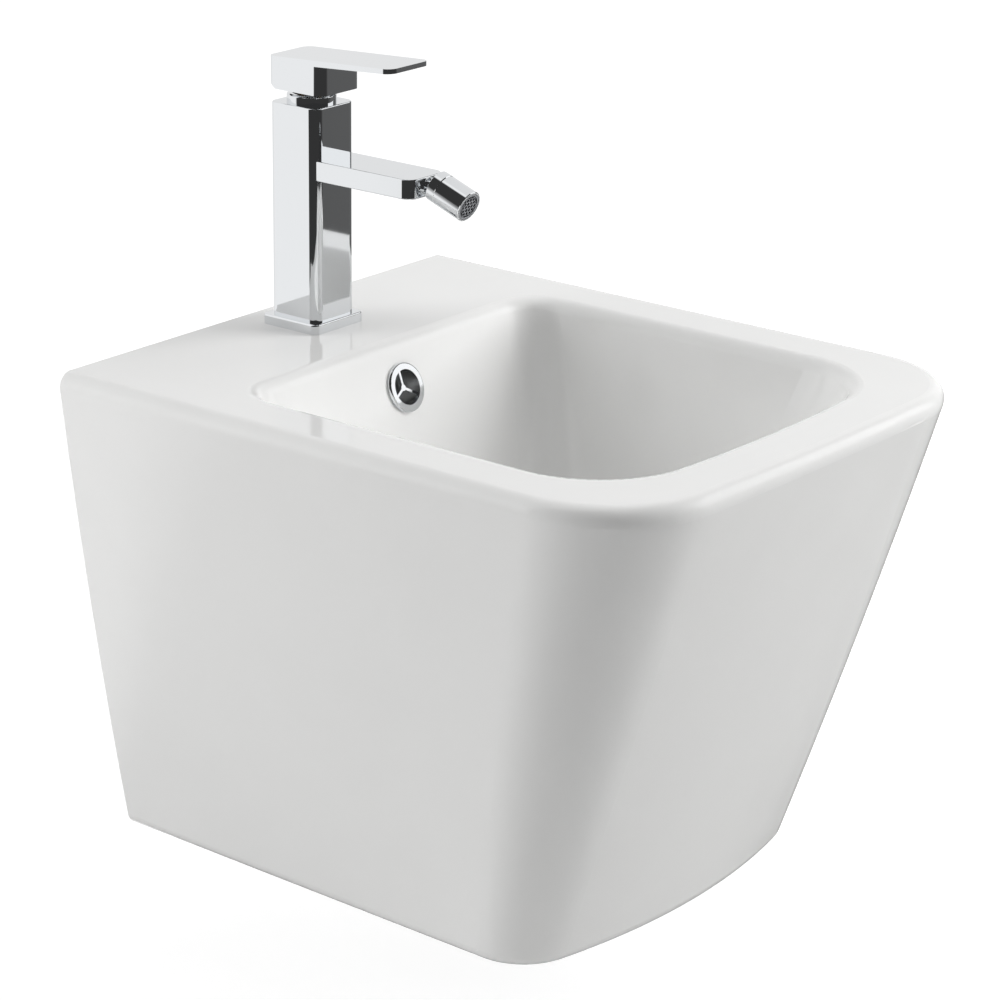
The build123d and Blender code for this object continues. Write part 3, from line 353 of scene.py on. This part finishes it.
# Alumina lapped flat: an off-white with a soft, even shine and a trace of grain.
def lapped_alumina(look):
    grain_size = 0.5 * MM
    finish, tree = new_material("lapped_alumina")
    place = node(tree, "ShaderNodeTexCoord").outputs["Object"]
    grain = node(tree, "ShaderNodeTexNoise", {"Scale": 1 / grain_size, "Detail": 3.0}, {"Vector": place})
    polish = node(tree, "ShaderNodeMapRange", {"To Min": 0.16, "To Max": 0.26},
                  {"Value": grain.outputs["Fac"]})
    shader = node(tree, "ShaderNodeBsdfPrincipled", {"Base Color": look.alumina, "IOR": 1.77},
                  {"Roughness": polish.outputs["Result"]})
    surface(tree, shader.outputs["BSDF"])
    return finish


def joint_point(name):
    """Place of a joint in the frame."""
    return Vector(next(joint["pos_m"] for joint in frame["joints"] if joint["name"] == name))


def apply_place(piece):
    """Move a piece's place, turn and size into its mesh."""
    piece.data.transform(piece.matrix_basis)
    piece.matrix_basis = Matrix.Identity(4)


class BIDET_OT_glaze_body(Operator):
    """Glaze the ceramic body"""

    bl_idname = "bidet.glaze_body"
    bl_label = "Glaze body"

    def execute(self, context):
        dress(["ceramic_body"], fired_glaze(context.scene.bidet_finishes))
        return {"FINISHED"}


class BIDET_OT_plate_tap(Operator):
    """Chrome the tap, the nozzle, the overflow ring and the plug"""

    bl_idname = "bidet.plate_tap"
    bl_label = "Chrome tap"

    def execute(self, context):
        plated = ["tap_base", "tap_body", "collar", "handle", "nozzle_ring", "nozzle_shell", "overflow_ring",
                  "waste_plug", "ball_stud"]
        dress(plated, bright_chrome(context.scene.bidet_finishes))
        return {"FINISHED"}


class BIDET_OT_finish_waste(Operator):
    """Chrome and thread the waste tube"""

    bl_idname = "bidet.finish_waste"
    bl_label = "Finish waste"

    def execute(self, context):
        scene = context.scene
        dress(["waste_tube"], threaded_chrome(scene.bidet_finishes, scene.bidet_details))
        return {"FINISHED"}


class BIDET_OT_finish_metal_fixings(Operator):
    """Finish the steel and brass pieces inside the tap and under the deck"""

    bl_idname = "bidet.finish_metal_fixings"
    bl_label = "Finish metal fixings"

    def execute(self, context):
        look = context.scene.bidet_finishes
        dress(["horseshoe_plate", "fixing_nut", "pivot_pin", "handle_screw", "stem"], zinc_plate(look))
        dress(["fixing_stud"], rolled_thread(look, context.scene.bidet_details.stud_pitch))
        dress(["cartridge_nut"], turned_brass(look))
        return {"FINISHED"}


class BIDET_OT_finish_seals(Operator):
    """Finish the seals and gaskets"""

    bl_idname = "bidet.finish_seals"
    bl_label = "Finish seals"

    def execute(self, context):
        seals = ["base_seal", "horseshoe_gasket", "seat_seals", "ball_seal", "aerator_seal", "waste_gasket",
                 "cone_gasket", "plug_seal"]
        dress(seals, moulded_rubber(context.scene.bidet_finishes))
        return {"FINISHED"}


class BIDET_OT_finish_plastics(Operator):
    """Finish the moulded plastic and ceramic pieces"""

    bl_idname = "bidet.finish_plastics"
    bl_label = "Finish plastics"

    def execute(self, context):
        look = context.scene.bidet_finishes
        white = ["cartridge_shell", "carrier", "wall_sleeves", "click_cartridge", "waste_nut", "screw_cap"]
        dress(white, moulded_acetal("white_acetal", look.white_acetal, 0.38))
        dress(["aerator"], moulded_acetal("dark_acetal", look.dark_acetal, 0.5))
        dress(["fixed_disc", "moving_disc"], lapped_alumina(look))
        return {"FINISHED"}


class BIDET_OT_model_jet_screen(Operator):
    """Model the fine screen in the nozzle's mouth"""

    bl_idname = "bidet.model_jet_screen"
    bl_label = "Model jet screen"

    def execute(self, context):
        scene = context.scene
        sizes = scene.bidet_details
        bpy.ops.object.select_all(action="DESELECT")
        pitch = sizes.cell_pitch
        row = pitch * sqrt(3) / 2
        reach = sizes.screen_radius - sizes.screen_rim
        rows = int(reach / row)
        bpy.ops.mesh.primitive_circle_add(vertices=6, radius=pitch / sqrt(3), fill_type="NGON")
        cell = bpy.context.object
        cells = [cell]
        for step in range(-rows, rows + 1):
            shift = pitch / 2 if step % 2 else 0.0
            across = int(reach / pitch) + 1
            for place in range(-across, across + 1):
                centre = Vector((place * pitch + shift, step * row, 0.0))
                if 0 < centre.length <= reach - pitch / 2:
                    copy = cell.copy()
                    copy.data = cell.data.copy()
                    copy.data.transform(Matrix.Translation(centre))
                    scene.collection.objects.link(copy)
                    cells.append(copy)
        bpy.ops.object.select_all(action="DESELECT")
        for piece in cells:
            piece.select_set(True)
        bpy.context.view_layer.objects.active = cell
        bpy.ops.object.join()
        screen = bpy.context.object
        screen.name = "jet_screen"
        bpy.ops.object.mode_set(mode="EDIT")
        bpy.ops.mesh.select_all(action="SELECT")
        bpy.ops.mesh.inset(thickness=sizes.cell_wall / 2, use_individual=True)
        bpy.ops.mesh.delete(type="FACE")
        bpy.ops.mesh.select_all(action="SELECT")
        bpy.ops.mesh.remove_doubles(threshold=WELD)
        bpy.ops.object.mode_set(mode="OBJECT")
        bpy.ops.object.select_all(action="DESELECT")
        bpy.ops.mesh.primitive_circle_add(vertices=RIM_SIDES, radius=sizes.screen_radius, fill_type="NGON")
        rim = bpy.context.object
        bpy.ops.object.mode_set(mode="EDIT")
        bpy.ops.mesh.select_mode(type="FACE")
        bpy.ops.mesh.select_all(action="SELECT")
        bpy.ops.mesh.inset(thickness=sizes.screen_rim)
        bpy.ops.mesh.delete(type="FACE")
        bpy.ops.object.mode_set(mode="OBJECT")
        screen.select_set(True)
        rim.select_set(True)
        bpy.context.view_layer.objects.active = screen
        bpy.ops.object.join()
        solid = screen.modifiers.new("thickness", "SOLIDIFY")
        solid.thickness = sizes.screen_depth
        solid.offset = 1.0
        bpy.ops.object.modifier_apply(modifier=solid.name)
        bpy.ops.object.shade_smooth_by_angle(angle=SMOOTH_BELOW)
        outward = Vector((0, -cos(sizes.nozzle_lean), -sin(sizes.nozzle_lean)))
        side = Vector((1, 0, 0))
        up = outward.cross(side)
        centre = joint_point("nozzle_tilt") + outward * sizes.screen_reach
        screen.matrix_basis = Matrix.Translation(centre) @ Matrix((side, up, outward)).transposed().to_4x4()
        apply_place(screen)
        screen.data.materials.clear()
        screen.data.materials.append(moulded_acetal("screen_acetal", scene.bidet_finishes.screen, 0.35))
        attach(screen, "nozzle")
        return {"FINISHED"}


class BIDET_OT_set_stage(Operator):
    """Set up the floor, the surroundings, the lamps and the camera"""

    bl_idname = "bidet.set_stage"
    bl_label = "Set stage"

    def execute(self, context):
        scene = context.scene
        studio = scene.bidet_studio
        scene.view_settings.view_transform = "Standard"
        self.make_floor(studio)
        self.make_world(scene, studio)
        self.make_lamp("left_lamp", studio.left_place, studio.left_power, studio.side_size)
        self.make_lamp("front_lamp", studio.front_place, studio.front_power, studio.side_size)
        self.make_lamp("top_lamp", studio.top_place, studio.top_power, studio.top_size)
        self.make_card("soft_card_front", studio.front_place, studio.side_size)
        self.make_camera(scene, studio)
        return {"FINISHED"}

    def make_floor(self, studio):
        """Pale floor that renders white and keeps the object's shadow."""
        bpy.ops.mesh.primitive_plane_add(size=studio.floor_size, location=(0, 0, studio.floor_height))
        floor = bpy.context.object
        floor.name = "floor"
        finish, tree = new_material("pale_floor")
        place = node(tree, "ShaderNodeTexCoord").outputs["Object"]
        paint = node(tree, "ShaderNodeBsdfDiffuse", {"Color": studio.floor_colour})
        share = studio.shadow_paint
        faint = node(tree, "ShaderNodeBsdfDiffuse", {"Color": (share, share, share, 1.0)})
        away = node(tree, "ShaderNodeVectorMath", links={0: place}, operation="LENGTH").outputs["Value"]
        rise = node(tree, "ShaderNodeMapRange",
                    {"From Min": studio.shadow_reach, "From Max": studio.white_reach,
                     "To Min": studio.shadow_glow, "To Max": 1.0},
                    {"Value": away})
        glow = node(tree, "ShaderNodeEmission", links={"Strength": rise.outputs["Result"]})
        shown = node(tree, "ShaderNodeAddShader",
                     links={0: faint.outputs["BSDF"], 1: glow.outputs["Emission"]})
        mirrored = self.room(tree, place, studio, "ShaderNodeEmission")
        self.by_ray(tree, paint.outputs["BSDF"], shown.outputs["Shader"], mirrored)
        floor.data.materials.append(finish)

    def room(self, tree, place, studio, kind):
        """What mirrors show round the object: a white sweep behind it and a dark room in front of it."""
        round_about = node(tree, "ShaderNodeTexGradient", links={"Vector": place}, gradient_type="RADIAL")
        dark, grey, right, left = [
            (level, level, level, 1.0)
            for level in (studio.dark_room, studio.grey_room, studio.sweep_right, studio.sweep_left)
        ]
        level = ramp(tree, round_about.outputs["Fac"], (0.0, dark), (DARK_END, dark), (GREY_FULL, grey),
                     (GREY_END, grey), (RIGHT_FULL, right), (RIGHT_END, right), (LEFT_FULL, left),
                     (LEFT_END, left), (DARK_AGAIN, dark))
        return node(tree, kind, {"Color": WHITE}, {"Strength": level}).outputs[0]

    def by_ray(self, tree, lighting, shown, mirrored, output="ShaderNodeOutputMaterial"):
        """Give the light on the object, the camera with glass, and mirrors a shader each."""
        path = node(tree, "ShaderNodeLightPath")
        seen = node(tree, "ShaderNodeMath",
                    links={0: path.outputs["Is Camera Ray"], 1: path.outputs["Is Transmission Ray"]},
                    operation="MAXIMUM")
        first = node(tree, "ShaderNodeMixShader",
                     links={0: path.outputs["Is Glossy Ray"], 1: lighting, 2: mirrored})
        second = node(tree, "ShaderNodeMixShader",
                      links={0: seen.outputs["Value"], 1: first.outputs["Shader"], 2: shown})
        node(tree, output, links={"Surface": second.outputs["Shader"]})

    def make_world(self, scene, studio):
        """White where the camera sees it, and an even dim light where it falls on the object."""
        world = scene.world or bpy.data.worlds.new("studio")
        scene.world = world
        world.use_nodes = True
        tree = world.node_tree
        tree.nodes.clear()
        place = node(tree, "ShaderNodeTexCoord").outputs["Generated"]
        dim = node(tree, "ShaderNodeBackground", {"Color": WHITE, "Strength": studio.ambient})
        white = node(tree, "ShaderNodeBackground", {"Color": WHITE, "Strength": 1.0})
        mirrored = self.room(tree, place, studio, "ShaderNodeBackground")
        self.by_ray(tree, dim.outputs["Background"], white.outputs["Background"], mirrored,
                    "ShaderNodeOutputWorld")

    def make_card(self, name, place, size):
        """Card that stands in for a lamp in the object's mirror surfaces and shows nowhere else."""
        studio = bpy.context.scene.bidet_studio
        bpy.ops.mesh.primitive_plane_add(size=size, location=place)
        card = bpy.context.object
        card.name = name
        card.rotation_euler = (Vector(studio.card_aim) - Vector(place)).to_track_quat("Z", "Y").to_euler()
        finish, tree = new_material(name)
        surface(tree, node(tree, "ShaderNodeEmission", {"Strength": studio.card_level}).outputs["Emission"])
        card.data.materials.append(finish)
        card.visible_camera = False
        card.visible_diffuse = False
        card.visible_shadow = False
        card.visible_transmission = False

    def make_lamp(self, name, place, power, size):
        """Large soft lamp that faces the object and doesn't show in mirror surfaces."""
        scene = bpy.context.scene
        aim = Vector(scene.bidet_studio.lamp_aim)
        light = bpy.data.lights.new(name, "AREA")
        light.shape = "SQUARE"
        light.size = size
        light.energy = power
        lamp = bpy.data.objects.new(name, light)
        lamp.location = place
        lamp.rotation_euler = (aim - Vector(place)).to_track_quat("-Z", "Y").to_euler()
        lamp.visible_glossy = False
        scene.collection.objects.link(lamp)

    def make_camera(self, scene, studio):
        """Camera at the photograph's angle."""
        azimuth, elevation, roll = studio.azimuth, studio.elevation, studio.roll
        back = Vector((sin(azimuth) * cos(elevation), -cos(azimuth) * cos(elevation), sin(elevation)))
        level = Vector((cos(azimuth), sin(azimuth), 0.0))
        upright = back.cross(level)
        right = level * cos(roll) + upright * sin(roll)
        up = upright * cos(roll) - level * sin(roll)
        data = bpy.data.cameras.new("camera")
        data.sensor_width = SENSOR
        data.lens = studio.lens
        data.clip_start, data.clip_end = CLIP
        camera = bpy.data.objects.new("camera", data)
        place = Matrix((right, up, back)).transposed().to_4x4()
        place.translation = Vector(studio.target) + back * studio.distance
        camera.matrix_world = place
        scene.collection.objects.link(camera)
        scene.camera = camera


class BIDET_PT_sidebar(Panel):
    """Pieces, finishes and studio of the bidet"""

    bl_idname = "BIDET_PT_sidebar"
    bl_label = "Wall-hung bidet"
    bl_space_type = "VIEW_3D"
    bl_region_type = "UI"
    bl_category = "Bidet"

    def draw(self, context):
        layout = self.layout
        for operator in PIECES:
            layout.operator(operator.bl_idname)
        for group in (context.scene.bidet_finishes, context.scene.bidet_details, context.scene.bidet_studio):
            box = layout.box()
            for name in group.__annotations__:
                box.prop(group, name)


PIECES = (
    BIDET_OT_glaze_body,
    BIDET_OT_plate_tap,
    BIDET_OT_finish_waste,
    BIDET_OT_finish_metal_fixings,
    BIDET_OT_finish_seals,
    BIDET_OT_finish_plastics,
    BIDET_OT_model_jet_screen,
    BIDET_OT_set_stage,
)
CLASSES = (BidetFinishes, BidetDetails, BidetStudio, *PIECES, BIDET_PT_sidebar)


def register():
    for made in CLASSES:
        bpy.utils.register_class(made)
    bpy.types.Scene.bidet_finishes = PointerProperty(type=BidetFinishes)
    bpy.types.Scene.bidet_details = PointerProperty(type=BidetDetails)
    bpy.types.Scene.bidet_studio = PointerProperty(type=BidetStudio)


def unregister():
    del bpy.types.Scene.bidet_studio
    del bpy.types.Scene.bidet_details
    del bpy.types.Scene.bidet_finishes
    for made in reversed(CLASSES):
        bpy.utils.unregister_class(made)


def main():
    register()
    for operator in PIECES:
        group, name = operator.bl_idname.split(".")
        getattr(getattr(bpy.ops, group), name)()


if __name__ == "__main__":
    main()
